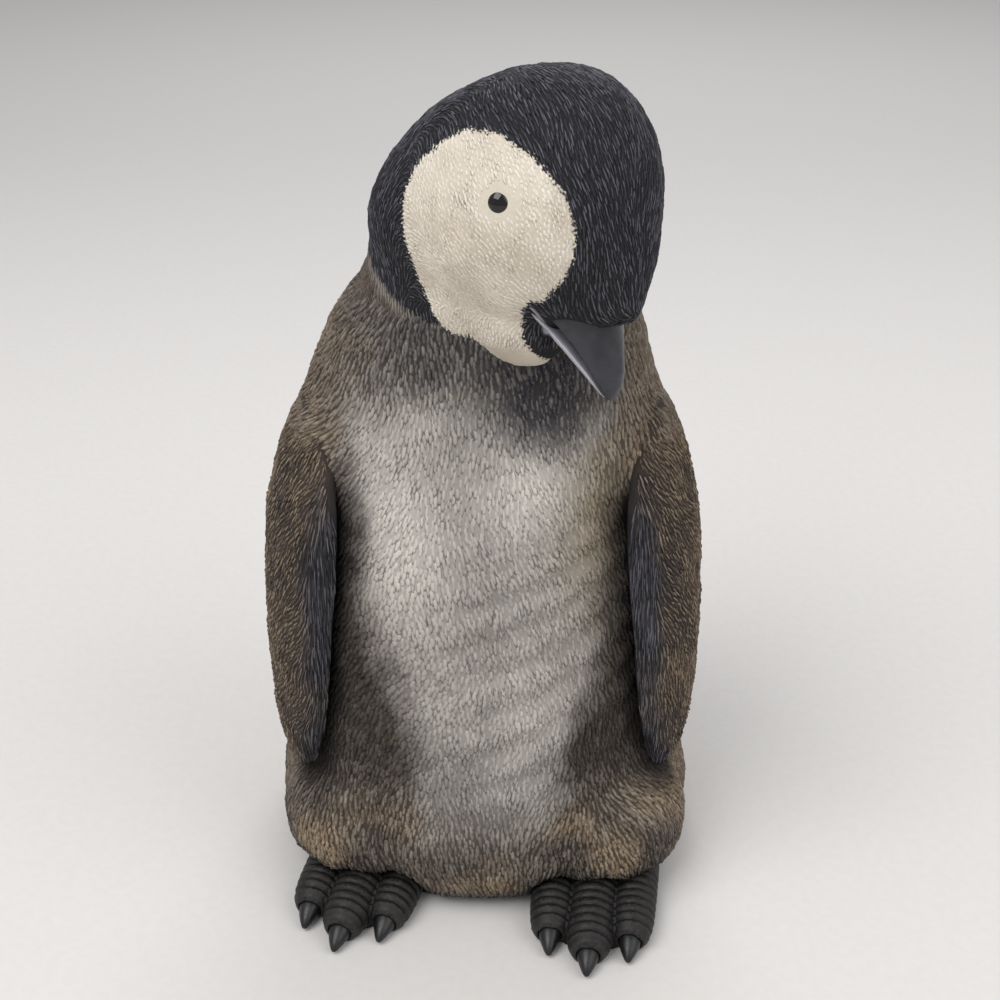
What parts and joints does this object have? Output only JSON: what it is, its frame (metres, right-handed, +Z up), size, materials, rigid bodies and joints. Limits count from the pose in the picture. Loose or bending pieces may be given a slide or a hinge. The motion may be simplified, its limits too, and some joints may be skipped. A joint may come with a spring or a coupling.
{
  "type": "penguin figurine",
  "caption": "Standing penguin chick figurine of painted cast resin, with its head bowed and turned to its left, flippers held against its sides and ribbed, clawed feet",
  "frame": {"origin": "on the ground, under the middle of the figure's outline", "axes": "+Z up, -Y where the chick's breast and toes point, -X the chick's own right"},
  "size_m": [0.0796, 0.0947, 0.1531],
  "materials": {
    "plumage_paint": "matt hand-painted cast resin, warm grey breast with brown flanks, dark wash in the grooves",
    "cap_paint": "matt hand-painted cast resin, near-black cap with a cream face mask",
    "bill_paint": "satin slate-grey paint on cast resin",
    "lower_bill_paint": "satin lavender-grey paint on cast resin",
    "eye_glass": "glossy dark bead",
    "flipper_paint": "matt hand-painted cast resin, brown-grey with a charcoal leading edge",
    "foot_paint": "semi-matt dark grey paint on cast resin",
    "claw_paint": "satin black paint on cast resin",
    "dowel_wood": "plain birch dowel",
    "pin_steel": "cut steel rod",
    "plug_plastic": "moulded plug, unpainted",
    "felt": "thin dark felt"
  },
  "bodies": {
    "root": {"torso_shell": "plumage_paint", "head": "cap_paint", "upper_mandible": "bill_paint", "lower_mandible": "lower_bill_paint", "eye_right": "eye_glass", "eye_left": "eye_glass", "flipper_right": "flipper_paint", "flipper_left": "flipper_paint", "foot_right": "foot_paint", "foot_left": "foot_paint", "claws_right": "claw_paint", "claws_left": "claw_paint", "tail": "plumage_paint", "neck_dowel": "dowel_wood", "shoulder_pin_right": "pin_steel", "shoulder_pin_left": "pin_steel", "foot_pin_right": "pin_steel", "foot_pin_left": "pin_steel", "base_plug": "plug_plastic", "base_felt": "felt"}
  },
  "joints": []
}
